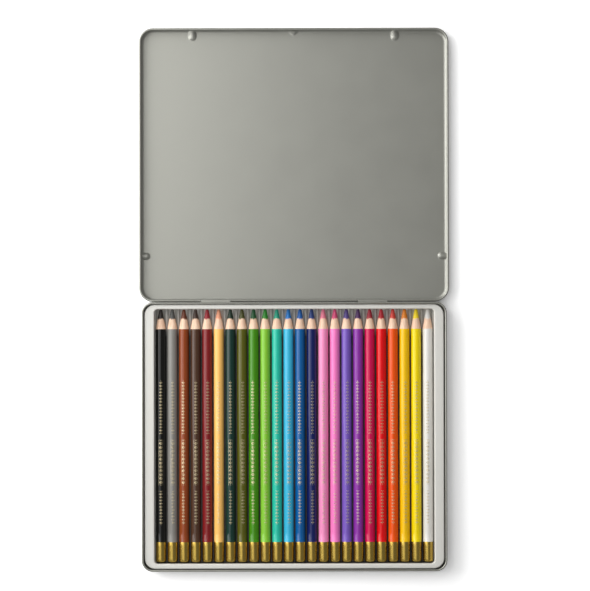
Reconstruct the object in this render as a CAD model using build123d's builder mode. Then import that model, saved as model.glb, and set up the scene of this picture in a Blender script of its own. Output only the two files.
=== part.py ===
"""Flat hinged tin of coloured pencils, lying open with its lid turned right back.

Millimetres. The origin is the centre of the base's underside, +X is to the right, +Z is up, and
+Y runs from the base's front edge, over the hinge, to the far edge of the opened lid.
Everything follows from the pencils: they set the tray, the tray sets the base, and the base
sets the lid.
"""

import os
from math import radians, tan

from build123d import *

os.makedirs("parts", exist_ok=True)

# Pencils
pencil_colours = [
    "black", "grey", "rust", "umber", "maroon", "apricot", "bottle_green", "olive",
    "leaf_green", "lime", "turquoise", "sky_blue", "mid_blue", "navy", "pale_pink", "orchid",
    "violet", "purple", "raspberry", "red", "orange", "golden_yellow", "lemon", "white",
]
pencil_length = 175.0
pencil_radius = 3.5
pencil_spacing = 1.05        # free space between two neighbours
core_radius = 2.1
core_gap = 0.02              # glue line round the core
sharpened_length = 13.6      # whole cone, wood and core together
sharpened_angle = 10.5       # degrees between the cone's side and the pencil's axis
tip_rounding = 0.7
dip_length = 14.0            # coloured cap that the blunt end is dipped in
dip_thickness = 0.06
dome_reach = 1.8             # the dip dried into a slight dome: across its end,
dome_depth = 1.1             # and along the pencil
dip_floor = 0.6              # wood and paint that close the bore at the blunt end

# Moulded tray
tray_sheet = 0.40            # wall of the moulded tray
tray_floor = 0.35            # flat landing under each groove
tray_seat = 0.05             # clearance above the base's floor
tray_corner = 7.4
tray_edge = 0.8              # rounding along both edges of the border
groove_clearance = 0.35      # groove radius over pencil radius
groove_seat = 0.20           # clearance under a pencil
ridge_height = 2.2           # ridges between the grooves
pocket_margin = 0.2          # beyond the outer pencils' share of the row
blunt_gap = 0.8              # beyond the blunt end of a pencil
tip_gap = 0.2
pocket_corner = 2.6
pocket_wall = 2.5            # border above the pencils
border_side = 6.7
border_rear = 3.0
border_front = 3.4
tray_gap_side = 0.6          # between the tray and the curled rim of the base
tray_gap_end = 0.4
tray_drop = 1.7              # border below the top of the base's rim

# Pressed tinplate
sheet = 0.28
rim_radius = 0.70            # outside radius of the inward curl along the base's rim
lid_rim_radius = 0.85        # the same along the lid's rim, which holds the hinge wires
rim_turn = 280.0             # degrees that the curl turns through
heel = 1.5                   # outside radius between the base's floor and its walls
lid_heel = 3.2               # outside radius between the lid's panel and its walls
base_corner = 7.8
lid_gap = 0.30               # between the lid's curl and the base's walls

# Stops pressed into the lid, which rest on the base's rim
stop_height = 1.0
stop_gap = 0.12
stop_width = 5.4
stop_reach = 8.0             # from the lid's outer face to the stop's round end
stop_front_offset = 70.5     # from the lid's middle to each front stop
stop_side_offset = 30.95     # from the hinge line to each side stop
side_stop_reach = 7.2
side_stop_width = 4.7

# Thumb notch pressed into the middle of the lid's front edge
notch_width = 11.0
notch_depth = 1.7
notch_reach = 4.4            # along the panel
notch_rise = 5.4             # up the wall

# Hinge: a tongue of the base curls round a wire held in the lid's rim, twice
hinge_offset = 54.4          # from the middle of the tin to each tongue
tongue_width = 20.4
tongue_turn = 240.0          # degrees that the tongue turns through round the wire
tongue_bend = 0.5            # outside radius where the tongue leaves the wall
tongue_side_gap = 0.4
window_drop = 1.2            # window below the hinge line, in the lid's rear wall
wire_rim_gap = 0.04          # between the wire and the curled rim that holds it
wire_gap = 0.05              # between the wire and the tongue
wire_grip = 3.0              # length of wire held at each end of a window

# Derived sizes
pencil_count = len(pencil_colours)
pencil_pitch = 2 * pencil_radius + pencil_spacing
pocket_width = pencil_count * pencil_pitch + 2 * pocket_margin
pocket_depth = pencil_length + blunt_gap + tip_gap
tray_width = pocket_width + 2 * border_side
tray_depth = pocket_depth + border_rear + border_front
pocket_y = (border_front - border_rear) / 2
curl_width = 2 * rim_radius
lid_curl_width = 2 * lid_rim_radius
base_width = tray_width + 2 * (tray_gap_side + curl_width)
base_depth = tray_depth + 2 * (tray_gap_end + curl_width)

tray_bottom = sheet + tray_seat
groove_bottom = tray_bottom + tray_floor
groove_radius = pencil_radius + groove_clearance
groove_z = groove_bottom + groove_radius
ridge_top = groove_bottom + ridge_height
pencil_z = groove_bottom + groove_seat + pencil_radius
border_top = pencil_z + pencil_radius + pocket_wall
base_height = border_top + tray_drop

lid_overhang = lid_gap + lid_curl_width
lid_width = base_width + 2 * lid_overhang
lid_depth = base_depth + 2 * lid_overhang
lid_corner = base_corner + lid_overhang
closed_height = base_height + stop_gap + stop_height + sheet
hinge_z = closed_height / 2              # so that the opened lid lies level with the base
hinge_y = base_depth / 2 + lid_gap + lid_rim_radius
lid_height = hinge_z + lid_rim_radius
lid_y = 2 * hinge_y                      # middle of the opened lid
lid_front = lid_y + lid_depth / 2
lid_rear = lid_y - lid_depth / 2
wire_radius = lid_rim_radius - sheet - wire_rim_gap

cut_margin = 1.0                         # how far a cut runs past what it cuts


def pan_block(width, depth, corner, height, bottom_radius, floor_z, middle_y):
    """Fill a rounded pan shape, from its floor to the height where the rim curls."""
    with BuildSketch(Plane.XY.offset(floor_z)) as outline:
        with Locations((0, middle_y)):
            RectangleRounded(width, depth, corner)
    extrude(outline.sketch, amount=height - floor_z)
    fillet(edges().group_by(Axis.Z)[0], bottom_radius)


def curled_rim(width, depth, corner, height, radius, middle_y):
    """Carry the rim's curl, of an outside radius, round the top of a pan's walls."""
    with BuildSketch(Plane.XY.offset(height - radius)) as outline:
        with Locations((0, middle_y)):
            RectangleRounded(width, depth, corner)
    path = outline.sketch.face().outer_wire()
    along = path % 0
    inwards = Vector(0, 0, 1).cross(along)
    with BuildSketch(Plane(origin=path @ 0, x_dir=inwards, z_dir=along)) as section:
        with BuildLine():
            outer = CenterArc((radius, 0), radius, 180, -rim_turn)
            inner = CenterArc((radius, 0), radius - sheet, 180, -rim_turn)
            Line(outer @ 0, inner @ 0)
            Line(outer @ 1, inner @ 1)
        make_face()
    sweep(section.sketch, path=path)


def press_stop(x, y, heading, width, reach, growth):
    """Press one stop into the lid from below: a rib with a round end, along a heading."""
    half = width / 2
    radius = (half**2 + stop_height**2) / (2 * stop_height)
    depth = stop_height - radius
    rib = Plane(origin=(x, y, depth), x_dir=(0, 0, 1), z_dir=heading)
    with BuildSketch(rib) as rib_section:
        Circle(radius + growth)
    extrude(rib_section.sketch, amount=reach - half, mode=Mode.SUBTRACT)
    with Locations(rib.offset(reach - half)):
        Sphere(radius + growth, mode=Mode.SUBTRACT)


def press_notch(growth):
    """Press the thumb notch: two shallow cones that meet at the corner of panel and wall."""
    scale_up = 1 + growth / notch_depth
    half = scale_up * notch_width / 2
    depth = scale_up * notch_depth
    panel_tip = Vertex(0, lid_front - scale_up * notch_reach, 0)
    wall_tip = Vertex(0, lid_front, scale_up * notch_rise)
    on_wall = Plane(origin=(0, lid_front, 0), x_dir=(1, 0, 0), z_dir=(0, -1, 0))
    on_floor = Plane(origin=(0, lid_front, 0), x_dir=(1, 0, 0), z_dir=(0, 0, 1))
    for plane, crest, tip in ((on_wall, depth, panel_tip), (on_floor, -depth, wall_tip)):
        with BuildSketch(plane) as mouth:
            with BuildLine():
                chord = Line((-half, 0), (half, 0))
                ThreePointArc(chord @ 0, (0, crest), chord @ 1)
            make_face()
        loft([mouth.sketch, tip], mode=Mode.SUBTRACT)


def press_lid_features(growth):
    """Press the four stops and the thumb notch into a solid lid block."""
    for side in (-1, 1):
        press_stop(side * stop_front_offset, lid_front, (0, -1, 0), stop_width, stop_reach, growth)
        press_stop(
            side * lid_width / 2, hinge_y + stop_side_offset, (-side, 0, 0),
            side_stop_width, side_stop_reach, growth,
        )
    press_notch(growth)


# Base: inner shape, then the pressed pan with its curled rim and hinge tongues
with BuildPart() as base_hollow:
    pan_block(
        base_width - 2 * sheet, base_depth - 2 * sheet, base_corner - sheet,
        base_height, heel - sheet, sheet, 0,
    )

tongue_inner = wire_radius + wire_gap
tongue_outer = tongue_inner + sheet
wall_inside = base_depth / 2 - sheet
bend_z = hinge_z + tongue_inner + tongue_bend
tongue_flat = hinge_y - wall_inside - tongue_bend
tongue_strip = tongue_flat + radians(90) * (tongue_bend - sheet / 2)
tongue_strip += radians(tongue_turn) * (tongue_inner + sheet / 2)

with BuildPart() as base_pan:
    pan_block(base_width, base_depth, base_corner, base_height - rim_radius, heel, 0, 0)
    add(base_hollow.part, mode=Mode.SUBTRACT)
    curled_rim(base_width, base_depth, base_corner, base_height, rim_radius, 0)
    for side in (-1, 1):
        middle = side * hinge_offset
        # the slot that the tongue is pressed out of
        with BuildSketch(Plane.YZ.offset(middle)):
            with Locations((wall_inside - cut_margin, bend_z)):
                Rectangle(sheet + 2 * cut_margin, tongue_strip, align=(Align.MIN, Align.MAX))
        extrude(amount=tongue_width / 2, both=True, mode=Mode.SUBTRACT)
        # the tongue itself, bent out of the wall and curled round the wire
        with BuildSketch(Plane.YZ.offset(middle)):
            with BuildLine():
                bend_under = CenterArc(
                    (wall_inside + tongue_bend, bend_z), tongue_bend, 180, 90)
                bend_over = CenterArc(
                    (wall_inside + tongue_bend, bend_z), tongue_bend - sheet, 180, 90)
                curl_under = CenterArc((hinge_y, hinge_z), tongue_inner, 90, -tongue_turn)
                curl_over = CenterArc((hinge_y, hinge_z), tongue_outer, 90, -tongue_turn)
                Line(bend_under @ 0, bend_over @ 0)
                Line(bend_under @ 1, curl_under @ 0)
                Line(bend_over @ 1, curl_over @ 0)
                Line(curl_under @ 1, curl_over @ 1)
            make_face()
        extrude(amount=tongue_width / 2, both=True)
base_pan.part.label = "base_pan"
export_step(base_pan.part, "parts/base_pan.step")

# Lid: the same press work, upside down, with stops, a thumb notch and two hinge windows
window_width = tongue_width + 2 * tongue_side_gap

with BuildPart() as lid_hollow:
    pan_block(
        lid_width - 2 * sheet, lid_depth - 2 * sheet, lid_corner - sheet,
        lid_height, lid_heel - sheet, sheet, lid_y,
    )
    press_lid_features(sheet)

with BuildPart() as lid_shell:
    pan_block(
        lid_width, lid_depth, lid_corner, lid_height - lid_rim_radius, lid_heel, 0, lid_y)
    press_lid_features(0)
    add(lid_hollow.part, mode=Mode.SUBTRACT)
    curled_rim(lid_width, lid_depth, lid_corner, lid_height, lid_rim_radius, lid_y)
    for side in (-1, 1):
        with BuildSketch(Plane.XY.offset(hinge_z - window_drop)):
            with Locations((side * hinge_offset, lid_rear - cut_margin)):
                Rectangle(
                    window_width, lid_curl_width + 2 * cut_margin,
                    align=(Align.CENTER, Align.MIN),
                )
        extrude(amount=window_drop + lid_rim_radius + cut_margin, mode=Mode.SUBTRACT)
lid_shell.part.label = "lid_shell"
export_step(lid_shell.part, "parts/lid_shell.step")

# Hinge wires, held in the lid's curled rim on both sides of each window
for side_name, side in (("left", -1), ("right", 1)):
    with BuildPart() as hinge_wire:
        with BuildSketch(Plane.YZ.offset(side * hinge_offset)):
            with Locations((hinge_y, hinge_z)):
                Circle(wire_radius)
        extrude(amount=window_width / 2 + wire_grip, both=True)
    hinge_wire.part.label = f"hinge_wire_{side_name}"
    export_step(hinge_wire.part, f"parts/hinge_wire_{side_name}.step")

# Tray: the moulded sheet is what lies between its upper skin and its lower skin
first_pencil_x = -(pencil_count - 1) / 2 * pencil_pitch
pencil_stations = [first_pencil_x + index * pencil_pitch for index in range(pencil_count)]


def tray_skin(growth):
    """Fill the tray below one of its skins: the lower skin lies one sheet inside the upper."""
    top = border_top - growth
    with BuildSketch(Plane.XY.offset(tray_bottom)) as outline:
        RectangleRounded(
            tray_width - 2 * growth, tray_depth - 2 * growth, tray_corner - growth)
    extrude(outline.sketch, amount=top - tray_bottom)
    with BuildSketch(Plane.XY.offset(top)) as pocket:
        with Locations((0, pocket_y)):
            RectangleRounded(
                pocket_width + 2 * growth, pocket_depth + 2 * growth, pocket_corner + growth)
    extrude(pocket.sketch, amount=ridge_top - border_top, mode=Mode.SUBTRACT)
    fillet(edges().group_by(Axis.Z)[-1], tray_edge - growth)
    with BuildSketch(Plane.XZ.offset(-pocket_y)) as grooves:
        with Locations([(x, groove_z) for x in pencil_stations]):
            Circle(groove_radius + growth)
    extrude(grooves.sketch, amount=pocket_depth / 2 + growth, both=True, mode=Mode.SUBTRACT)


with BuildPart() as tray_underside:
    tray_skin(tray_sheet)

with BuildPart() as insert_tray:
    tray_skin(0)
    add(tray_underside.part, mode=Mode.SUBTRACT)
insert_tray.part.label = "insert_tray"
export_step(insert_tray.part, "parts/insert_tray.step")

# Pencils, tips towards the hinge: each is a casing with a bore and a core that shows at the tip
blunt_y = pocket_y - pocket_depth / 2 + blunt_gap
tip_y = blunt_y + pencil_length
shoulder_y = tip_y - sharpened_length
taper = tan(radians(sharpened_angle))
tip_radius = pencil_radius - sharpened_length * taper
bore_radius = core_radius + core_gap
bore_y = blunt_y + dip_floor


def cone_y(radius):
    """Give the place along the pencil where the sharpened cone has a radius."""
    return shoulder_y + (pencil_radius - radius) / taper


for number, (colour, x) in enumerate(zip(pencil_colours, pencil_stations), start=1):
    pencil_plane = Plane(origin=(x, 0, pencil_z))
    pencil_axis = Axis(pencil_plane.origin, (0, 1, 0))
    dip_radius = pencil_radius + dip_thickness

    with BuildPart() as casing:
        with BuildSketch(pencil_plane):
            with BuildLine():
                dome = EllipticalCenterArc(
                    (dip_radius - dome_reach, blunt_y + dome_depth), dome_reach, dome_depth,
                    start_angle=270, arc_size=90,
                )
                Polyline(
                    dome @ 1,
                    (dip_radius, blunt_y + dip_length),
                    (pencil_radius, blunt_y + dip_length),
                    (pencil_radius, shoulder_y),
                    (bore_radius, cone_y(bore_radius)),
                    (bore_radius, bore_y),
                    (0, bore_y),
                    (0, blunt_y),
                    dome @ 0,
                )
            make_face()
        revolve(axis=pencil_axis)
    casing.part.label = f"pencil_casing_{number:02d}_{colour}"
    export_step(casing.part, f"parts/{casing.part.label}.step")

    with BuildPart() as core:
        with BuildSketch(pencil_plane):
            with BuildLine():
                Polyline(
                    (0, bore_y + core_gap),
                    (core_radius, bore_y + core_gap),
                    (core_radius, cone_y(core_radius)),
                    (tip_radius, tip_y),
                    (0, tip_y),
                    close=True,
                )
            make_face()
        revolve(axis=pencil_axis)
        fillet(edges().filter_by(GeomType.CIRCLE).group_by(Axis.Y)[-1], tip_rounding)
    core.part.label = f"pencil_core_{number:02d}_{colour}"
    export_step(core.part, f"parts/{core.part.label}.step")
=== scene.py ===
import bmesh
import bpy
import numpy as np
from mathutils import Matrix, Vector


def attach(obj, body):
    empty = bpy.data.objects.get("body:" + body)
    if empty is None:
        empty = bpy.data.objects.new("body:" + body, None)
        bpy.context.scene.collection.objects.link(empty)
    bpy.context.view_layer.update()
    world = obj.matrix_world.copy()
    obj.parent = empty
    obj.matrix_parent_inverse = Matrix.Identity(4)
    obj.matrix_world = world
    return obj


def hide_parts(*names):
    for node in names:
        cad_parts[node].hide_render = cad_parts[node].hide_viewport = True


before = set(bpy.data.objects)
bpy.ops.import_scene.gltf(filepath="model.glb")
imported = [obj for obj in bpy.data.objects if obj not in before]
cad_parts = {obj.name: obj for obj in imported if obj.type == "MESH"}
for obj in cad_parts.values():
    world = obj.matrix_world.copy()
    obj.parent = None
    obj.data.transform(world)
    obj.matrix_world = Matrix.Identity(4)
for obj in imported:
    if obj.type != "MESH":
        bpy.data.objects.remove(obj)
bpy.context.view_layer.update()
print("frame loaded:", len(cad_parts), "nodes")

# Every size below is in millimetres; the meshes are written in metres.
millimetre = 0.001
weldDistance = 1e-6
sharpAngle = 50.0

# The opened tin lies at z = 0, its lid turned right back towards +Y.
hinge = {
    "y": 94.15,
    "z": 6.74,
    "offset": 54.4,
    "wireRadius": 0.53,
    "wireLength": 27.2,
    "tongueWidth": 20.4,
    "tongueInner": 0.58,
    "tongueTurn": 240.0,
    "bend": 0.5,
    "windowWidth": 21.2,
    "windowSill": 5.54,
}
sheetMetal = 0.28
rimTurn = 280.0


# A patch is a grid of points, rows by columns. Its faces look the way of column step x row step.
def patchQuads(shape, start, keep=None):
    rows, columns = shape[:2]
    index = start + np.arange(rows * columns).reshape(rows, columns)
    quads = np.stack([index[:-1, :-1], index[:-1, 1:], index[1:, 1:], index[1:, :-1]], axis=-1)
    return quads.reshape(-1, 4) if keep is None else quads[keep]


def meshFromPatches(name, patches, materials, uvName=None):
    points, quads, slots, uvs, start = [], [], [], [], 0
    for patch in patches:
        grid = patch["points"]
        faces = patchQuads(grid.shape, start, patch.get("keep"))
        points.append(grid.reshape(-1, 3))
        quads.append(faces)
        slots.append(np.full(len(faces), patch.get("material", 0)))
        if uvName:
            uvs.append(patch["uv"].reshape(-1, 2)[faces.ravel() - start])
        start += grid.shape[0] * grid.shape[1]
    points = np.concatenate(points) * millimetre
    quads = np.concatenate(quads)
    mesh = bpy.data.meshes.new(name)
    mesh.vertices.add(len(points))
    mesh.vertices.foreach_set("co", points.astype(np.float32).ravel())
    mesh.loops.add(quads.size)
    mesh.loops.foreach_set("vertex_index", quads.astype(np.int32).ravel())
    mesh.polygons.add(len(quads))
    mesh.polygons.foreach_set("loop_start", np.arange(0, quads.size, 4, dtype=np.int32))
    mesh.polygons.foreach_set("material_index", np.concatenate(slots).astype(np.int32))
    mesh.update(calc_edges=True)
    if uvName:
        layer = mesh.uv_layers.new(name=uvName)
        layer.data.foreach_set("uv", np.concatenate(uvs).astype(np.float32).ravel())
    work = bmesh.new()
    work.from_mesh(mesh)
    bmesh.ops.remove_doubles(work, verts=work.verts, dist=weldDistance)
    work.to_mesh(mesh)
    work.free()
    mesh.validate()
    mesh.shade_smooth()
    mesh.set_sharp_from_angle(angle=np.radians(sharpAngle))
    for material in materials:
        mesh.materials.append(material)
    piece = bpy.data.objects.new(name, mesh)
    bpy.context.scene.collection.objects.link(piece)
    return piece


# Marks along a straight side: even steps, with finer ones (middle, reach, step) where asked.
def sideMarks(half, step, finer=()):
    count = max(2, round(2 * half / step))
    marks = np.linspace(-half, half, count + 1)[1:-1]
    for middle, reach, fineStep in finer:
        marks = marks[np.abs(marks - middle) > reach + 0.3 * fineStep]
        fine = np.linspace(middle - reach, middle + reach, round(2 * reach / fineStep) + 1)
        marks = np.sort(np.concatenate([marks, fine]))
    return marks


# Columns round a rounded rectangle, counter-clockwise from its low-Y side: the point on the
# outline and the direction inwards. sides holds the marks of the low-Y, high-X, high-Y, low-X side.
def outlineColumns(width, depth, corner, middleY, sides, cornerSteps):
    anchors, inwards = [], []
    turn = np.linspace(0, np.pi / 2, cornerSteps + 1)[:, None]
    for quarter in range(4):
        along = np.array([(1, 0), (0, 1), (-1, 0), (0, -1)][quarter], float)
        outwards = np.array([(0, -1), (1, 0), (0, 1), (-1, 0)][quarter], float)
        half, across = (width, depth)[quarter % 2] / 2, (depth, width)[quarter % 2] / 2
        marks = sides[quarter] if quarter < 2 else -sides[quarter][::-1]
        anchors.append(marks[:, None] * along + across * outwards)
        inwards.append(np.repeat(-outwards[None], len(marks), axis=0))
        radial = outwards * np.cos(turn) + along * np.sin(turn)
        centre = along * (half - corner) + outwards * (across - corner)
        anchors.append(centre + corner * radial)
        inwards.append(-radial)
    anchors = np.concatenate(anchors) + (0, middleY)
    inwards = np.concatenate(inwards)
    closed = np.r_[np.arange(len(anchors)), 0]
    return anchors[closed], inwards[closed]


# The section of a pressed pan, from its flat panel outwards: for both skins the inset from the
# outer wall and the height, and the direction from the outer skin to the inner one.
def panSection(pan):
    heel, height, rim = pan["heel"], pan["height"], pan["rim"]
    inset = np.linspace(pan["panelReach"], heel, pan["panelRows"])
    turn = np.radians(np.linspace(270, 180, pan["heelRows"] + 1))[1:]
    wall = np.array(pan["wallRows"])
    curl = np.radians(np.linspace(180, 180 - rimTurn, pan["rimRows"] + 1))

    def skin(growth):
        d = np.concatenate([
            inset, heel + (heel - growth) * np.cos(turn),
            np.full(len(wall), growth), rim + (rim - growth) * np.cos(curl)])
        z = np.concatenate([
            np.full(len(inset), growth), heel + (heel - growth) * np.sin(turn),
            wall, height - rim + (rim - growth) * np.sin(curl)])
        return d, z

    inwards = np.concatenate([
        np.tile((0.0, 1.0), (len(inset), 1)),
        -np.stack([np.cos(turn), np.sin(turn)], axis=1),
        np.tile((1.0, 0.0), (len(wall), 1)),
        np.zeros((len(curl), 2))])
    return skin(0), skin(sheetMetal), inwards


# Both skins of a pan as grids: section rows placed on the outline's columns, then rings that
# shrink to the middle of the panel.
def panSkins(pan, anchors, normals, press=None):
    outer, inner, inwards = panSection(pan)
    skins = []
    for (d, z), growth in ((outer, 0.0), (inner, sheetMetal)):
        flat = anchors[None] + normals[None] * d[:, None, None]
        grid = np.dstack([flat, np.repeat(z[:, None], len(anchors), axis=1)])
        if press:
            heading = np.dstack([
                normals[None] * inwards[:, :1, None],
                np.repeat(inwards[:, 1:], len(anchors), axis=1)[..., None]])
            pressed = np.any(inwards != 0, axis=1)
            grid[pressed] += heading[pressed] * press(grid[pressed], heading[pressed], growth)
        shrink = np.linspace(0, 1, pan["middleRings"] + 1)[:-1, None, None]
        middle = np.array((0, pan["middleY"], z[0]))
        skins.append(np.concatenate([middle + (grid[:1] - middle) * shrink, grid]))
    return skins


# One patch for both skins, joined along the curl's end, with openings left out, and the cut
# sheet's edges round each opening. An opening is (first row, last row, first column, last column).
def shellPatches(skins, openings):
    outer, inner = skins
    rows = len(outer)
    whole = np.concatenate([outer, inner[::-1]])
    keep = np.ones((whole.shape[0] - 1, whole.shape[1] - 1), bool)
    patches = [{"points": whole, "keep": keep}]
    for low, high, first, last, topIsOpen in openings:
        keep[low:high, first:last] = False
        keep[2 * rows - 1 - high:2 * rows - 1 - low, first:last] = False
        if high == rows - 1:
            keep[rows - 1, first:last] = False
        span, climb = slice(first, last + 1), slice(low, high + 1)
        patches.append({"points": np.stack([outer[low, span], inner[low, span]])})
        patches.append({"points": np.stack([outer[climb, first][::-1], inner[climb, first][::-1]])})
        patches.append({"points": np.stack([outer[climb, last], inner[climb, last]])})
        if not topIsOpen:
            patches.append({"points": np.stack([inner[high, span], outer[high, span]])})
    return patches


# First and last column between two x on the side that faces a direction (0, -1) or (0, 1).
def columnsBetween(anchors, normals, low, high, facing):
    inside = (np.abs(normals[:, 1] + facing) < 1e-9)
    inside &= (anchors[:, 0] > low - 1e-6) & (anchors[:, 0] < high + 1e-6)
    found = np.flatnonzero(inside)
    return found[0], found[-1]


# A profile of (radius, y) turned round a line along +Y through (x, z). The seam is underneath.
def turnedPatch(profile, x, z, steps, yStart, yLength, material=0):
    share = np.linspace(0, 1, steps + 1)
    angle = -np.pi / 2 - 2 * np.pi * share
    radius, y = profile[:, :1], profile[:, 1:]
    points = np.dstack([
        x + radius * np.cos(angle), np.repeat(y, steps + 1, axis=1), z + radius * np.sin(angle)])
    uv = np.dstack([
        np.repeat(share[None], len(profile), axis=0),
        np.repeat((y - yStart) / yLength, steps + 1, axis=1)])
    return {"points": points, "uv": uv, "material": material}


def addNode(tree, kind, sockets=None, **settings):
    node = tree.nodes.new(kind)
    for key, value in settings.items():
        setattr(node, key, value)
    for key, value in (sockets or {}).items():
        if isinstance(value, bpy.types.NodeSocket):
            tree.links.new(value, node.inputs[key])
        else:
            node.inputs[key].default_value = value
    return node


def compute(tree, operation, *values):
    node = addNode(tree, "ShaderNodeMath", dict(enumerate(values)), operation=operation)
    return node.outputs[0]


def mixColours(tree, mask, first, second):
    node = addNode(tree, "ShaderNodeMix", data_type="RGBA")
    for socket, value in ((node.inputs[0], mask), (node.inputs[6], first), (node.inputs[7], second)):
        if isinstance(value, bpy.types.NodeSocket):
            tree.links.new(value, socket)
        elif isinstance(value, (int, float)):
            socket.default_value = value
        else:
            socket.default_value = (*value[:3], 1)
    return node.outputs[2]


def rangeOf(tree, value, fromLow, fromHigh, toLow, toHigh):
    node = addNode(tree, "ShaderNodeMapRange", {
        "Value": value, "From Min": fromLow, "From Max": fromHigh, "To Min": toLow, "To Max": toHigh})
    return node.outputs["Result"]


def newGroup(name, inputs, outputs):
    tree = bpy.data.node_groups.new(name, "ShaderNodeTree")
    for socketName, default in inputs:
        socket = tree.interface.new_socket(socketName, in_out="INPUT", socket_type="NodeSocketFloat")
        socket.default_value = default
    for socketName in outputs:
        tree.interface.new_socket(socketName, in_out="OUTPUT", socket_type="NodeSocketFloat")
    return tree, tree.nodes.new("NodeGroupInput"), tree.nodes.new("NodeGroupOutput")


def placeGroup(tree, group, **values):
    node = addNode(tree, "ShaderNodeGroup", node_tree=group)
    for key, value in values.items():
        if isinstance(value, bpy.types.NodeSocket):
            tree.links.new(value, node.inputs[key])
        else:
            node.inputs[key].default_value = value
    return node


def newMaterial(name, **plain):
    material = bpy.data.materials.new(name)
    material.use_nodes = True
    shader = material.node_tree.nodes["Principled BSDF"]
    for key, value in plain.items():
        shader.inputs[key.replace("_", " ")].default_value = value
    return material, material.node_tree, shader


def linearColour(colour):
    c = np.array(colour, float)
    return tuple(np.where(c <= 0.04045, c / 12.92, ((c + 0.055) / 1.055) ** 2.4).tolist())


# Fine grain of a coated or moulded surface: a blotchy mask for tone and a finer height.
def makeGrain():
    tree, given, result = newGroup(
        "fineGrain", [("Blotches", 60.0), ("Grain", 2500.0), ("Stretch", 1.0)],
        ["Tone", "Height"])
    place = addNode(tree, "ShaderNodeTexCoord").outputs["Object"]
    split = addNode(tree, "ShaderNodeSeparateXYZ", {0: place})
    slow = compute(tree, "DIVIDE", split.outputs[1], given.outputs["Stretch"])
    stretched = addNode(tree, "ShaderNodeCombineXYZ", {
        0: split.outputs[0], 1: slow, 2: split.outputs[2]}).outputs[0]
    blotch = addNode(tree, "ShaderNodeTexNoise", {
        "Vector": stretched, "Scale": given.outputs["Blotches"], "Detail": 3.0})
    grain = addNode(tree, "ShaderNodeTexNoise", {
        "Vector": stretched, "Scale": given.outputs["Grain"], "Detail": 2.0})
    tree.links.new(blotch.outputs[0], result.inputs["Tone"])
    tree.links.new(grain.outputs[0], result.inputs["Height"])
    return tree


# Gold ornament stamped along a pencil: a plain band of lozenges between two lines in the
# middle, and rows of small lozenges and dots on both sides of it. Read from the pencil's own UV.
def makeOrnament():
    tree, given, result = newGroup(
        "foilOrnament", [("Turn", 0.0), ("Length", 175.0), ("Girth", 22.0)], ["Mask"])
    uv = addNode(tree, "ShaderNodeUVMap", uv_map="alongPencil").outputs[0]
    split = addNode(tree, "ShaderNodeSeparateXYZ", {0: uv})
    along = compute(tree, "MULTIPLY", split.outputs[1], given.outputs["Length"])
    turned = compute(tree, "MULTIPLY", compute(tree, "SUBTRACT", split.outputs[0], 0.5),
                     given.outputs["Girth"])
    around = compute(tree, "ABSOLUTE", compute(tree, "SUBTRACT", turned, given.outputs["Turn"]))

    def within(low, high):
        return compute(tree, "MULTIPLY", compute(tree, "GREATER_THAN", along, low),
                       compute(tree, "LESS_THAN", along, high))

    def lozenges(pitch, halfLength, halfWidth, shift):
        cell = compute(tree, "SUBTRACT", compute(tree, "FRACT", compute(
            tree, "DIVIDE", compute(tree, "ADD", along, shift), pitch)), 0.5)
        reach = compute(tree, "MULTIPLY", compute(tree, "ABSOLUTE", cell), pitch / halfLength)
        return compute(tree, "ADD", reach, compute(tree, "DIVIDE", around, halfWidth))

    def atMost(value, limit):
        return compute(tree, "LESS_THAN", value, limit)

    def anyOf(first, *others):
        for other in others:
            first = compute(tree, "MAXIMUM", first, other)
        return first

    bold = lozenges(2.7, 1.2, 1.15, 0.0)
    ring = compute(tree, "MULTIPLY", atMost(bold, 1.0), compute(tree, "GREATER_THAN", bold, 0.5))
    heart = atMost(bold, 0.26)
    lines = compute(tree, "COMPARE", around, 1.38, 0.05)
    band = compute(tree, "MULTIPLY", within(53.4, 84.9), anyOf(ring, heart, lines))
    fine = lozenges(2.2, 0.62, 1.2, 0.0)
    small, hollow = atMost(fine, 1.0), compute(tree, "GREATER_THAN", fine, 0.42)
    dots = atMost(lozenges(2.2, 0.2, 0.28, 1.1), 1.0)
    rows = compute(tree, "MULTIPLY", anyOf(within(26.0, 49.5), within(89.0, 126.0)),
                   anyOf(compute(tree, "MULTIPLY", small, hollow), dots))
    tree.links.new(anyOf(band, rows), result.inputs["Mask"])
    return tree


grain = makeGrain()
ornament = makeOrnament()
print("node groups made")


tinFinish = {"colour": (0.374, 0.374, 0.336), "metallic": 0.72, "roughness": 0.40}
# The tray's three pocket colours are painted shade: near black under the barrels, grey on the ridge
# tops under the points, and a painted lightening in the grooves.
trayFinish = {"colour": (0.71, 0.70, 0.655), "dustAndPaintedShade": (0.034, 0.029, 0.024),
              "tipPaintedShade": (0.42, 0.41, 0.38), "groovePaintedLight": (0.74, 0.73, 0.69), "roughness": 0.42}
goldFinish = {"colour": (0.545, 0.38, 0.085), "roughness": 0.26}
woodFinish = {"pale": (0.88, 0.64, 0.47), "dark": (0.77, 0.50, 0.35)}
foilFinish = {"colour": (0.70, 0.59, 0.36), "roughness": 0.35}
paintFinish = {"specular": 0.40, "roughness": 0.11}


def makeTin():
    material, tree, shader = newMaterial("lacqueredTin", Metallic=tinFinish["metallic"])
    place = placeGroup(tree, grain, Blotches=45.0, Grain=1400.0)
    dim = tuple(0.93 * c for c in tinFinish["colour"])
    tree.links.new(mixColours(tree, place.outputs["Tone"], dim, tinFinish["colour"]),
                   shader.inputs["Base Color"])
    rough = rangeOf(tree, place.outputs["Tone"], 0.3, 0.7,
                    tinFinish["roughness"] - 0.02, tinFinish["roughness"] + 0.02)
    tree.links.new(rough, shader.inputs["Roughness"])
    bump = addNode(tree, "ShaderNodeBump", {
        "Height": place.outputs["Height"], "Strength": 0.06, "Distance": 0.0001})
    tree.links.new(bump.outputs[0], shader.inputs["Normal"])
    return material


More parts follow.
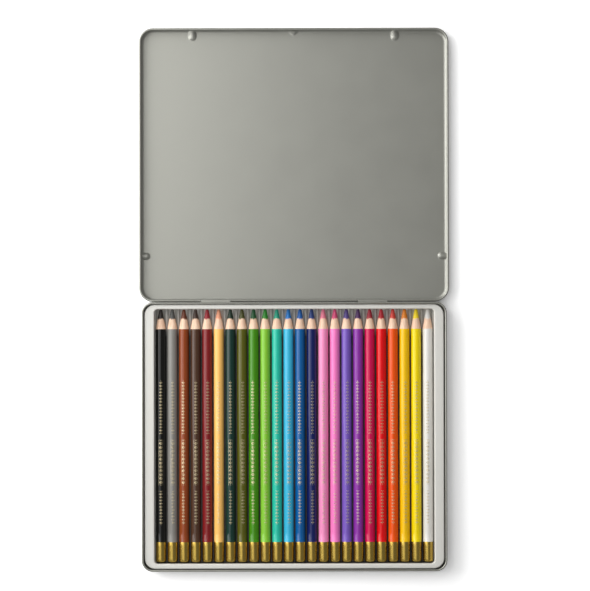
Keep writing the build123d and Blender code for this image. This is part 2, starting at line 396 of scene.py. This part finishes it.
def makeWire():
    material, tree, shader = newMaterial("hingeSteel", Metallic=1.0)
    place = placeGroup(tree, grain, Blotches=300.0, Grain=3000.0)
    tree.links.new(mixColours(tree, place.outputs["Tone"], (0.42, 0.42, 0.41), (0.56, 0.56, 0.55)),
                   shader.inputs["Base Color"])
    tree.links.new(rangeOf(tree, place.outputs["Height"], 0.3, 0.7, 0.28, 0.38),
                   shader.inputs["Roughness"])
    return material


# White plastic with painted shade low in the pocket: near black under the barrels, and under the
# points a grey painted shade, darkest on the ridges between them, with a painted lightening in the
# grooves.
def makeTrayPlastic():
    material, tree, shader = newMaterial("trayPlastic")
    place = placeGroup(tree, grain, Blotches=35.0, Grain=1800.0)
    dim = tuple(0.95 * c for c in trayFinish["colour"])
    unshadedPlastic = mixColours(tree, place.outputs["Tone"], dim, trayFinish["colour"])
    where = addNode(tree, "ShaderNodeTexCoord").outputs["Object"]
    split = addNode(tree, "ShaderNodeSeparateXYZ", {0: where})
    # Painted shading under the points: grooves painted a little lighter than the plastic, ridge tops
    # painted darker, which evens out their own shading.
    tipPaintedShading = mixColours(tree, rangeOf(tree, split.outputs[2], 0.0012, 0.0027, 0.0, 1.0),
                      trayFinish["groovePaintedLight"], trayFinish["tipPaintedShade"])
    # Near-black painted shade under the barrels, and the painted tip shading under the points.
    dustAndPaintedShade = mixColours(tree, rangeOf(tree, split.outputs[1], 0.069, 0.076, 0.0, 1.0),
                      trayFinish["dustAndPaintedShade"], tipPaintedShading)
    # Amount of painted shade: strongest low in the pocket, none above 8.8 mm, none on the pocket's
    # side walls.
    low = rangeOf(tree, split.outputs[2], 0.0034, 0.0088, 0.96, 0.0)
    side = compute(tree, "ABSOLUTE", split.outputs[0])
    paintedShadeAmount = compute(tree, "MULTIPLY", low, rangeOf(tree, side, 0.0952, 0.0964, 1.0, 0.0))
    tree.links.new(mixColours(tree, paintedShadeAmount, unshadedPlastic, dustAndPaintedShade), shader.inputs["Base Color"])
    tree.links.new(rangeOf(tree, place.outputs["Height"], 0.3, 0.7,
                           trayFinish["roughness"] - 0.04, trayFinish["roughness"] + 0.04),
                   shader.inputs["Roughness"])
    bump = addNode(tree, "ShaderNodeBump", {
        "Height": place.outputs["Height"], "Strength": 0.08, "Distance": 0.0001})
    tree.links.new(bump.outputs[0], shader.inputs["Normal"])
    return material


def makeGold():
    material, tree, shader = newMaterial("goldDip", Metallic=1.0)
    place = placeGroup(tree, grain, Blotches=120.0, Grain=2600.0)
    dim = tuple(0.93 * c for c in goldFinish["colour"])
    tree.links.new(mixColours(tree, place.outputs["Tone"], dim, goldFinish["colour"]),
                   shader.inputs["Base Color"])
    tree.links.new(rangeOf(tree, place.outputs["Tone"], 0.3, 0.7,
                           goldFinish["roughness"] - 0.02, goldFinish["roughness"] + 0.02),
                   shader.inputs["Roughness"])
    return material


# Bare cedar: grain drawn out along the pencil, fine rings from the sharpener, and the lead's
# dust, whose colour and amount are an attribute of the mesh.
def makeWood():
    material, tree, shader = newMaterial("sharpenedCedar", Roughness=0.62)
    place = placeGroup(tree, grain, Blotches=900.0, Grain=2600.0, Stretch=9.0)
    bare = mixColours(tree, rangeOf(tree, place.outputs["Tone"], 0.35, 0.65, 0.0, 1.0),
                      woodFinish["dark"], woodFinish["pale"])
    dustAndPaintedShade = addNode(tree, "ShaderNodeAttribute", attribute_name="leadDust")
    tree.links.new(mixColours(tree, dustAndPaintedShade.outputs["Alpha"], bare, dustAndPaintedShade.outputs["Color"]),
                   shader.inputs["Base Color"])
    uv = addNode(tree, "ShaderNodeUVMap", uv_map="alongPencil").outputs[0]
    along = addNode(tree, "ShaderNodeSeparateXYZ", {0: uv}).outputs[1]
    rings = compute(tree, "SINE", compute(tree, "MULTIPLY", along, 175.0 / 0.45 * 6.2832))
    height = compute(tree, "ADD", compute(tree, "MULTIPLY", rings, 0.12), place.outputs["Height"])
    bump = addNode(tree, "ShaderNodeBump", {"Height": height, "Strength": 0.25, "Distance": 0.0001})
    tree.links.new(bump.outputs[0], shader.inputs["Normal"])
    return material


def makePaint(name, colour, turn):
    material, tree, shader = newMaterial("paint_" + name, Specular_IOR_Level=paintFinish["specular"])
    place = placeGroup(tree, grain, Blotches=160.0, Grain=1500.0, Stretch=3.0)
    dim = tuple(0.93 * c for c in colour)
    plain = mixColours(tree, place.outputs["Tone"], dim, colour)
    mask = placeGroup(tree, ornament, Turn=turn).outputs["Mask"]
    worn = compute(tree, "MULTIPLY", mask,
                   rangeOf(tree, place.outputs["Height"], 0.38, 0.52, 0.45, 1.0))
    tree.links.new(mixColours(tree, worn, plain, foilFinish["colour"]), shader.inputs["Base Color"])
    tree.links.new(worn, shader.inputs["Metallic"])
    tree.links.new(rangeOf(tree, worn, 0.0, 1.0, paintFinish["roughness"], foilFinish["roughness"]),
                   shader.inputs["Roughness"])
    return material


def makeLead(name, colour):
    material, tree, shader = newMaterial("lead_" + name, Roughness=0.48)
    place = placeGroup(tree, grain, Blotches=700.0, Grain=3200.0, Stretch=2.0)
    dim = tuple(0.8 * c for c in colour)
    tree.links.new(mixColours(tree, place.outputs["Tone"], dim, colour),
                   shader.inputs["Base Color"])
    bump = addNode(tree, "ShaderNodeBump", {
        "Height": place.outputs["Height"], "Strength": 0.3, "Distance": 0.0001})
    tree.links.new(bump.outputs[0], shader.inputs["Normal"])
    return material


tin, wireSteel, trayPlastic, gold, cedar = (
    makeTin(), makeWire(), makeTrayPlastic(), makeGold(), makeWood())
print("shared finishes made")


base = {
    "width": 211.0, "depth": 186.0, "corner": 7.8, "middleY": 0.0,
    "height": 12.08, "heel": 1.5, "rim": 0.70,
    "panelReach": 7.0, "panelRows": 5, "heelRows": 8, "rimRows": 26, "middleRings": 8,
    "cornerSteps": 28, "sideStep": 5.0,
}


# Bent strips: a small arc out of the wall, a flat run, and a curl of 240 degrees round the wire.
def tongueSection():
    inside = base["depth"] / 2 - sheetMetal
    bendTurn = np.radians(np.linspace(180, 270, 7))
    curlTurn = np.radians(np.linspace(90, 90 - hinge["tongueTurn"], 29))
    bendZ = hinge["z"] + hinge["tongueInner"] + hinge["bend"]
    sides = []
    for bend, curl in ((hinge["bend"] - sheetMetal, hinge["tongueInner"] + sheetMetal),
                       (hinge["bend"], hinge["tongueInner"])):
        y = np.concatenate([inside + hinge["bend"] + bend * np.cos(bendTurn),
                            hinge["y"] + curl * np.cos(curlTurn)])
        z = np.concatenate([bendZ + bend * np.sin(bendTurn), hinge["z"] + curl * np.sin(curlTurn)])
        sides.append(np.stack([y, z], axis=1))
    return sides, bendZ


def makeBase():
    (over, under), bendZ = tongueSection()
    flat = hinge["y"] - (base["depth"] / 2 - sheetMetal) - hinge["bend"]
    strip = flat + np.radians(90) * (hinge["bend"] - sheetMetal / 2)
    strip += np.radians(hinge["tongueTurn"]) * (hinge["tongueInner"] + sheetMetal / 2)
    slotZ = bendZ - strip
    base["wallRows"] = [2.4, slotZ, 4.8, 6.3, bendZ, 9.0, 10.2]
    straightX, straightY = base["width"] / 2 - base["corner"], base["depth"] / 2 - base["corner"]
    half = hinge["tongueWidth"] / 2
    slots = [(side * hinge["offset"], half, 1.7) for side in (-1, 1)]
    plainX = sideMarks(straightX, base["sideStep"])
    plainY = sideMarks(straightY, base["sideStep"])
    sides = (plainX, plainY, sideMarks(straightX, base["sideStep"], slots), plainY)
    anchors, normals = outlineColumns(
        base["width"], base["depth"], base["corner"], 0.0, sides, base["cornerSteps"])
    skins = panSkins(base, anchors, normals)
    firstWall = base["middleRings"] + base["panelRows"] + base["heelRows"]
    low, high = firstWall + 1, firstWall + 4
    openings, tongues = [], []
    for side in (-1, 1):
        middle = side * hinge["offset"]
        first, last = columnsBetween(anchors, normals, middle - half, middle + half, 1)
        openings.append((low, high, first, last, True))
        x = anchors[first:last + 1, 0][::-1]
        loop = np.concatenate([over, under[::-1]])
        points = np.zeros((len(loop), len(x), 3))
        points[..., 0], points[..., 1:] = x, loop[:, None]
        tongues.append({"points": points})
        for end, order in ((x[-1], slice(None, None, -1)), (x[0], slice(None))):
            cap = np.zeros((2, len(over), 3))
            cap[..., 0] = end
            cap[0, :, 1:], cap[1, :, 1:] = over[order], under[order]
            tongues.append({"points": cap})
    piece = meshFromPatches("basePan", shellPatches(skins, openings) + tongues, [tin])
    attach(piece, "base")
    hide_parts("base_pan")
    return piece


makeBase()
print("base made")


lid = {
    "width": 215.0, "depth": 190.0, "corner": 9.8, "middleY": 188.3,
    "height": 7.59, "heel": 3.2, "rim": 0.85,
    "panelReach": 9.2, "panelRows": 25, "heelRows": 10, "rimRows": 26, "middleRings": 9,
    "wallRows": [3.6, 4.1, 4.6, 5.1, 5.54, 6.1, 6.5],
    "cornerSteps": 32, "sideStep": 5.5,
}
stops = {
    "height": 1.0, "frontOffset": 70.5, "frontWidth": 5.4, "frontReach": 8.0,
    "sideY": 125.1, "sideWidth": 4.7, "sideReach": 7.2, "softness": 0.14,
}
notch = {"width": 11.0, "depth": 1.7, "reach": 4.4, "rise": 5.4}


# How far a point is above a stop: a rib of round section that ends in a quarter sphere.
def aboveStop(across, inset, z, width, reach, growth):
    half = width / 2
    radius = (half**2 + stops["height"]**2) / (2 * stops["height"])
    beyond = np.maximum(inset - (reach - half), 0)
    room = (radius + growth)**2 - across**2 - beyond**2
    top = np.where(room > 0, stops["height"] - radius + np.sqrt(np.maximum(room, 0)), -9.0)
    return z - top


# How far a point is clear of the notch's two cones, one along the panel and one up the wall.
def clearOfNotch(x, inset, z, growth):
    scale = 1 + growth / notch["depth"]
    half, depth = scale * notch["width"] / 2, scale * notch["depth"]
    radius = (half**2 + depth**2) / (2 * depth)

    def arch(share):
        room = (share * radius)**2 - x**2
        crest = share * (depth - radius) + np.sqrt(np.maximum(room, 0))
        return np.where((share > 0) & (room > 0), crest, -9.0)

    overPanel = z - arch(1 - inset / (scale * notch["reach"]))
    offWall = inset - arch(1 - z / (scale * notch["rise"]))
    return np.minimum(overPanel, offWall)


# Moves points of a skin inwards until they clear every stop and the notch, halving the step
# each time, with a soft start so that the pressed edges are slightly round.
def pressLid(points, heading, growth):
    front = lid["middleY"] + lid["depth"] / 2

    def clear(p):
        x, y, z = p[..., 0], p[..., 1], p[..., 2]
        return np.minimum.reduce([
            aboveStop(np.abs(x) - stops["frontOffset"], front - y, z,
                      stops["frontWidth"], stops["frontReach"], growth),
            aboveStop(y - stops["sideY"], lid["width"] / 2 - np.abs(x), z,
                      stops["sideWidth"], stops["sideReach"], growth),
            clearOfNotch(x, front - y, z, growth)]) >= 0

    low, high = np.full(points.shape[:2], -2.0), np.full(points.shape[:2], 3.0)
    for _ in range(24):
        middle = (low + high) / 2
        free = clear(points + heading * middle[..., None])
        high, low = np.where(free, middle, high), np.where(free, low, middle)
    return (0.5 * (high + np.sqrt(high**2 + stops["softness"]**2)))[..., None]


def makeLid():
    straightX, straightY = lid["width"] / 2 - lid["corner"], lid["depth"] / 2 - lid["corner"]
    window = hinge["windowWidth"] / 2
    windows = [(side * hinge["offset"], window, 2.4) for side in (-1, 1)]
    frontFiner = [(side * stops["frontOffset"], 3.6, 0.24) for side in (-1, 1)]
    frontFiner.append((0.0, 7.5, 0.3))
    sideFiner = [(stops["sideY"] - lid["middleY"], 3.2, 0.24)]
    step = lid["sideStep"]
    across = sideMarks(straightY, step, sideFiner)
    sides = (sideMarks(straightX, step, windows), across,
             sideMarks(straightX, step, frontFiner), across)
    anchors, normals = outlineColumns(
        lid["width"], lid["depth"], lid["corner"], lid["middleY"], sides, lid["cornerSteps"])
    skins = panSkins(lid, anchors, normals, pressLid)
    sill = lid["middleRings"] + lid["panelRows"] + lid["heelRows"] + 4
    openings = []
    for side in (-1, 1):
        middle = side * hinge["offset"]
        first, last = columnsBetween(anchors, normals, middle - window, middle + window, -1)
        openings.append((sill, len(skins[0]) - 1, first, last, True))
    piece = meshFromPatches("lidShell", shellPatches(skins, openings), [tin])
    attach(piece, "lid")
    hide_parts("lid_shell")
    return piece


makeLid()
print("lid made")


# Hinge wires: drawn wire with slightly rounded ends, turned round a line along X.
def makeWireRod(side):
    half, radius, soft = hinge["wireLength"] / 2, hinge["wireRadius"], 0.12
    turn = np.linspace(0, np.pi / 2, 5)
    reach = half - soft + soft * np.sin(turn)
    r = radius - soft + soft * np.cos(turn)
    x = np.concatenate([[-half], -reach[::-1], np.linspace(-half + soft, half - soft, 15)[1:-1],
                        reach, [half]])
    r = np.concatenate([[0], r[::-1], np.full(13, radius), r, [0]])
    angle = np.linspace(0, 2 * np.pi, 33)
    points = np.dstack([
        np.repeat(side * hinge["offset"] + x[:, None], 33, axis=1),
        hinge["y"] + r[:, None] * np.cos(angle), hinge["z"] + r[:, None] * np.sin(angle)])
    return {"points": points[:, ::-1]}


for sideName, side in (("left", -1), ("right", 1)):
    piece = meshFromPatches("hingeWire_" + sideName, [makeWireRod(side)], [wireSteel])
    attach(piece, "lid")
    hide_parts("hinge_wire_" + sideName)
print("hinge wires made")


tray = {
    "width": 207.0, "depth": 182.7, "corner": 7.4, "edge": 0.8, "sheet": 0.40,
    "pocketWidth": 193.6, "pocketDepth": 176.0, "pocketCorner": 2.6, "pocketY": 0.2,
    "shift": 0.13, "bottom": 0.33, "top": 10.38, "ridge": 2.88, "grooveRadius": 3.85, "grooveZ": 4.53,
}
row = {"count": 24, "pitch": 8.05, "z": 4.38, "radius": 3.5}
stations = (np.arange(row["count"]) - (row["count"] - 1) / 2) * row["pitch"]


# One skin of the tray: the floor's grid over the pocket, its height the lower of the ridge and
# the nearest groove's circle, and rings from the floor's edge up the pocket's wall, over its
# round mouth, across the border, round the outer edge and down to the bottom.
def traySkin(growth):
    halfX, halfY = tray["pocketWidth"] / 2 + growth, tray["pocketDepth"] / 2 + growth
    corner = tray["pocketCorner"] + growth
    turn = np.linspace(0, np.pi / 2, 9)
    flatX, flatY = halfX - corner, halfY - corner
    shape = np.array([-3.478, -3.2, -2.8, -2.3, -1.7, -1.1, -0.4, 0.4, 1.1, 1.7, 2.3, 2.8, 3.2, 3.478])
    marks = (stations[:, None] + shape).ravel()
    marks = marks[np.abs(marks) < flatX - 0.1]
    x = np.concatenate([-flatX - corner * np.cos(turn), marks, flatX + corner * np.sin(turn)])
    edge = np.concatenate([flatY + corner * np.sin(turn), np.full(len(marks), halfY),
                           flatY + corner * np.cos(turn)])
    dx = np.abs(x[:, None] - stations).min(axis=1)
    room = np.maximum((tray["grooveRadius"] + growth)**2 - dx**2, 0)
    z = np.minimum(tray["ridge"] - growth, tray["grooveZ"] - np.sqrt(room))
    z = np.maximum(z, tray["bottom"])
    share = np.linspace(-1, 1, 13)[:, None]
    floor = np.dstack([np.repeat(x[None], 13, axis=0), tray["pocketY"] + share * edge,
                       np.repeat(z[None], 13, axis=0)])
    ring = np.concatenate([floor[0], floor[1:-1, -1], floor[-1, ::-1], floor[-2::-1, 0]])
    radial = np.concatenate([
        np.stack([-np.cos(turn), -np.sin(turn)], axis=1), np.tile((0.0, -1.0), (len(marks), 1)),
        np.stack([np.sin(turn), -np.cos(turn)], axis=1)])
    outwards = np.concatenate([
        radial, np.tile((1.0, 0.0), (11, 1)), radial[::-1] * (1, -1), np.tile((-1.0, 0.0), (12, 1))])
    outwards[-1] = radial[0]
    core = ring[:, :2] - (0, tray["pocketY"]) - corner * outwards
    outerX, outerY = tray["width"] / 2 - growth, tray["depth"] / 2 - growth
    outerCorner = tray["corner"] - growth
    scale = np.array([(outerX - outerCorner) / flatX, (outerY - outerCorner) / flatY])
    rim = core * scale + outwards * outerCorner + (0, tray["shift"])
    soft, top = tray["edge"] - growth, tray["top"] - growth
    rings = [ring]

    def addRing(flat, height):
        rings.append(np.column_stack([flat, np.full(len(flat), height)]))

    mouth = ring[:, :2]
    addRing(mouth, tray["ridge"] + 2.5)
    for a in np.linspace(0, np.pi / 2, 7):
        addRing(mouth + outwards * soft * (1 - np.cos(a)), top - soft + soft * np.sin(a))
    for t in (0.33, 0.67):
        addRing((1 - t) * (mouth + outwards * soft) + t * (rim - outwards * soft), top)
    for a in np.linspace(0, np.pi / 2, 7):
        addRing(rim - outwards * soft * (1 - np.sin(a)), top - soft + soft * np.cos(a))
    addRing(rim, 5.0)
    addRing(rim, tray["bottom"])
    return floor, np.stack(rings)


def makeTray():
    upperFloor, upperRings = traySkin(0.0)
    lowerFloor, lowerRings = traySkin(tray["sheet"])
    loop = np.concatenate([upperRings, lowerRings[::-1]])[:, ::-1]
    patches = [{"points": upperFloor}, {"points": lowerFloor[:, ::-1]}, {"points": loop}]
    piece = meshFromPatches("trayInsert", patches, [trayPlastic])
    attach(piece, "tray")
    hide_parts("insert_tray")
    return piece


makeTray()
print("tray made")


pencil = {
    "blunt": -87.0, "length": 175.0, "radius": 3.5, "steps": 56,
    "dipLength": 14.0, "dipRadius": 3.56, "domeReach": 1.8, "domeDepth": 1.1,
    "coneLength": 13.6, "coneAngle": 10.5, "coreRadius": 2.1, "boreRadius": 2.12,
    "boreDepth": 0.6, "tipRadius": 0.979, "tipSoft": 0.7,
}

# name, paint, lead where it differs from the paint, turn of the ornament round the pencil in mm
pencilRow = [
    ("black", (0.04, 0.04, 0.03), (0.15, 0.12, 0.10), 0.2),
    ("grey", (0.52, 0.51, 0.49), (0.32, 0.32, 0.31), 0.5),
    ("rust", (0.55, 0.25, 0.10), (0.42, 0.20, 0.10), -0.4),
    ("umber", (0.30, 0.20, 0.14), (0.25, 0.17, 0.13), 0.3),
    ("maroon", (0.49, 0.10, 0.11), (0.60, 0.12, 0.17), 0.6),
    ("apricot", (0.97, 0.75, 0.40), (0.93, 0.64, 0.50), -0.2),
    ("bottle_green", (0.06, 0.20, 0.17), (0.08, 0.19, 0.13), 0.1),
    ("olive", (0.34, 0.34, 0.06), (0.29, 0.30, 0.10), 0.7),
    ("leaf_green", (0.26, 0.54, 0.05), (0.06, 0.32, 0.15), -0.5),
    ("lime", (0.52, 0.77, 0.22), (0.13, 0.52, 0.12), 0.3),
    ("turquoise", (0.15, 0.74, 0.64), (0.10, 0.62, 0.50), 0.0),
    ("sky_blue", (0.22, 0.70, 0.84), (0.05, 0.45, 0.75), 0.4),
    ("mid_blue", (0.02, 0.35, 0.60), (0.08, 0.36, 0.66), -0.3),
    ("navy", (0.05, 0.10, 0.35), (0.12, 0.23, 0.48), 0.5),
    ("pale_pink", (0.96, 0.57, 0.76), (0.90, 0.48, 0.58), 0.2),
    ("orchid", (0.96, 0.49, 0.76), (0.84, 0.30, 0.48), -0.1),
    ("violet", (0.47, 0.35, 0.73), (0.33, 0.26, 0.53), 0.6),
    ("purple", (0.54, 0.19, 0.63), (0.30, 0.15, 0.37), -0.4),
    ("raspberry", (0.80, 0.02, 0.31), (0.64, 0.12, 0.20), 0.2),
    ("red", (0.88, 0.02, 0.06), (0.72, 0.10, 0.16), 0.4),
    ("orange", (0.93, 0.33, 0.02), (0.82, 0.24, 0.20), -0.2),
    ("golden_yellow", (0.97, 0.77, 0.02), (0.90, 0.52, 0.12), 0.5),
    ("lemon", (0.96, 0.85, 0.02), None, 0.1),
    ("white", (0.89, 0.88, 0.86), None, -0.3),
]
tipY = pencil["blunt"] + pencil["length"]
shoulderY = tipY - pencil["coneLength"]
taper = np.tan(np.radians(pencil["coneAngle"]))


def coneY(radius):
    return shoulderY + (pencil["radius"] - radius) / taper


# Dipped end: flat middle, a quarter ellipse to the side, and a step down to the paint.
def dipProfile():
    turn = np.linspace(-np.pi / 2, 0, 9)
    blunt, r = pencil["blunt"], pencil["dipRadius"]
    arc = np.stack([r - pencil["domeReach"] + pencil["domeReach"] * np.cos(turn),
                    blunt + pencil["domeDepth"] + pencil["domeDepth"] * np.sin(turn)], axis=1)
    end = blunt + pencil["dipLength"]
    side = [(r, y) for y in np.linspace(blunt + 2.5, end - 0.12, 5)]
    return np.array([(0, blunt), (0.9, blunt), *arc, *side, (r - 0.015, end - 0.04), (r - 0.06, end)])


def straightRun(start, end, count):
    share = np.linspace(0, 1, count)[:, None]
    return np.array(start) * (1 - share) + np.array(end) * share


# Lead dust on the wood: full at the lead, fading within a millimetre or two, its edge wavering
# round the pencil by two sines of the angle.
def dustAlong(mesh, x, colour, seed):
    co = np.empty(len(mesh.vertices) * 3, np.float32)
    mesh.vertices.foreach_get("co", co)
    co = co.reshape(-1, 3) / millimetre
    angle = np.arctan2(co[:, 2] - row["z"], co[:, 0] - x)
    waver = 0.35 * np.sin(3 * angle + seed) + 0.2 * np.sin(7 * angle + 2.3 * seed)
    reach = coneY(pencil["coreRadius"]) - co[:, 1] - waver
    amount = np.clip(1 - reach / 1.1, 0, 1) ** 1.5 * (co[:, 1] > shoulderY + 0.5)
    values = np.column_stack([np.tile(colour, (len(co), 1)), amount])
    layer = mesh.color_attributes.new(name="leadDust", type="FLOAT_COLOR", domain="POINT")
    layer.data.foreach_set("color", values.astype(np.float32).ravel())


def makePencil(number, name, paint, lead, turn):
    x, z, steps = stations[number - 1], row["z"], pencil["steps"]
    start, length = pencil["blunt"], pencil["length"]
    leadColour = linearColour(lead or paint)
    body = straightRun((pencil["radius"], start + pencil["dipLength"]),
                       (pencil["radius"], shoulderY), 24)
    body = np.vstack([(pencil["dipRadius"] - 0.06, start + pencil["dipLength"]), body[1:]])
    cone = straightRun((pencil["radius"], shoulderY),
                       (pencil["boreRadius"], coneY(pencil["boreRadius"])), 22)
    boreEnd = start + pencil["boreDepth"]
    bore = np.array([cone[-1], (pencil["boreRadius"], boreEnd), (0, boreEnd)])
    label = f"{number:02d}_{name}"
    patches = [
        turnedPatch(part, x, z, steps, start, length, material)
        for part, material in ((dipProfile(), 0), (body, 1), (cone, 2), (bore, 2))]
    casing = meshFromPatches(
        "pencilCasing_" + label, patches,
        [gold, makePaint(name, linearColour(paint), turn), cedar], "alongPencil")
    dustAlong(casing.data, x, leadColour, 1.7 * number)
    core = pencil["coreRadius"]
    point = straightRun((core, coneY(core)), (pencil["tipRadius"], tipY), 10)
    soft, bend = pencil["tipSoft"], np.radians(90 - pencil["coneAngle"])
    reach = soft * np.tan(bend / 2)
    turns = np.linspace(np.radians(pencil["coneAngle"]), np.pi / 2, 8)
    arc = np.stack([pencil["tipRadius"] - reach + soft * np.cos(turns),
                    tipY - soft + soft * np.sin(turns)], axis=1)
    back = start + pencil["boreDepth"] + 0.02
    side = straightRun((core, back), (core, coneY(core)), 3)
    profile = np.vstack([(0, back), side, point[1:-2], arc, (0, tipY)])
    lead = meshFromPatches(
        "pencilCore_" + label, [turnedPatch(profile, x, z, 40, start, length)],
        [makeLead(name, leadColour)], "alongPencil")
    for piece, node, slot in ((casing, "pencil_casing_", "paint_"), (lead, "pencil_core_", "lead_")):
        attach(piece, "pencil_" + label)
        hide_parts(node + label)


for number, entry in enumerate(pencilRow, start=1):
    makePencil(number, *entry)
print("pencils made")


studio = {
    "floor": (0.90, 0.90, 0.90), "floorSeen": (1.48, 1.48, 1.48), "floorLift": 0.04,
    "world": 0.36, "worldGlossy": 0.24, "aim": (0.0, 0.098, 0.0),
}
# name, place, width along the floor, height, power, seen in reflections
lamps = [
    ("lowLight", (-0.55, 0.31, 0.29), 0.75, 0.70, 4.9, True),
    ("highLight", (-0.38, 0.22, 0.68), 0.85, 0.6, 1.9, True),
    ("topLight", (-0.16, 0.07, 0.85), 0.9, 0.24, 0.48, True),
    ("backLight", (-0.28, 0.62, 0.27), 0.8, 0.40, 1.1, False),
]


def makeFloor():
    mesh = bpy.data.meshes.new("studioFloor")
    reach, z = 4.0, -0.0002
    mesh.from_pydata([(-reach, -reach, z), (reach, -reach, z), (reach, reach, z), (-reach, reach, z)],
                     [], [(0, 1, 2, 3)])
    floor = bpy.data.objects.new("studioFloor", mesh)
    bpy.context.scene.collection.objects.link(floor)
    material = bpy.data.materials.new("studioFloor")
    material.use_nodes = True
    tree = material.node_tree
    tree.nodes.clear()
    seen = addNode(tree, "ShaderNodeLightPath").outputs["Is Camera Ray"]
    diffuse = addNode(tree, "ShaderNodeBsdfDiffuse", {
        "Color": mixColours(tree, seen, studio["floor"], studio["floorSeen"])})
    lift = addNode(tree, "ShaderNodeEmission", {
        "Strength": compute(tree, "MULTIPLY", seen, studio["floorLift"])})
    both = addNode(tree, "ShaderNodeAddShader", {0: diffuse.outputs[0], 1: lift.outputs[0]})
    out = addNode(tree, "ShaderNodeOutputMaterial")
    tree.links.new(both.outputs[0], out.inputs[0])
    mesh.materials.append(material)


def makeLight():
    for name, place, width, height, power, reflected in lamps:
        lamp = bpy.data.lights.new(name, "AREA")
        lamp.shape = "RECTANGLE"
        lamp.size, lamp.size_y, lamp.energy = width, height, power
        holder = bpy.data.objects.new(name, lamp)
        holder.location = place
        away = Vector(place) - Vector(studio["aim"])
        holder.rotation_euler = away.to_track_quat("Z", "Y").to_euler()
        holder.visible_camera = False
        holder.visible_glossy = reflected
        bpy.context.scene.collection.objects.link(holder)
    world = bpy.data.worlds.new("studioWorld")
    world.use_nodes = True
    tree = world.node_tree
    tree.nodes.clear()
    light = addNode(tree, "ShaderNodeLightPath")
    plain = rangeOf(tree, light.outputs["Is Glossy Ray"], 0.0, 1.0,
                    studio["world"], studio["worldGlossy"])
    strength = rangeOf(tree, light.outputs["Is Camera Ray"], 0.0, 1.0, plain, 1.0)
    fill = addNode(tree, "ShaderNodeBackground", {"Color": (1, 1, 1, 1), "Strength": strength})
    out = addNode(tree, "ShaderNodeOutputWorld")
    tree.links.new(fill.outputs[0], out.inputs[0])
    bpy.context.scene.world = world


cameraPlace = {"lens": 131.28, "place": (0.0006, 0.0817, 1.5), "turn": (0.608, 0.0, -0.12)}


def makeCamera():
    data = bpy.data.cameras.new("photoCamera")
    data.lens = cameraPlace["lens"]
    data.sensor_width = 36.0
    data.clip_end = 20.0
    camera = bpy.data.objects.new("photoCamera", data)
    camera.location = cameraPlace["place"]
    camera.rotation_euler = [np.radians(degrees) for degrees in cameraPlace["turn"]]
    bpy.context.scene.collection.objects.link(camera)
    bpy.context.scene.camera = camera


makeFloor()
makeLight()
makeCamera()
bpy.context.scene.view_settings.view_transform = "Standard"
print("floor, light and camera made")
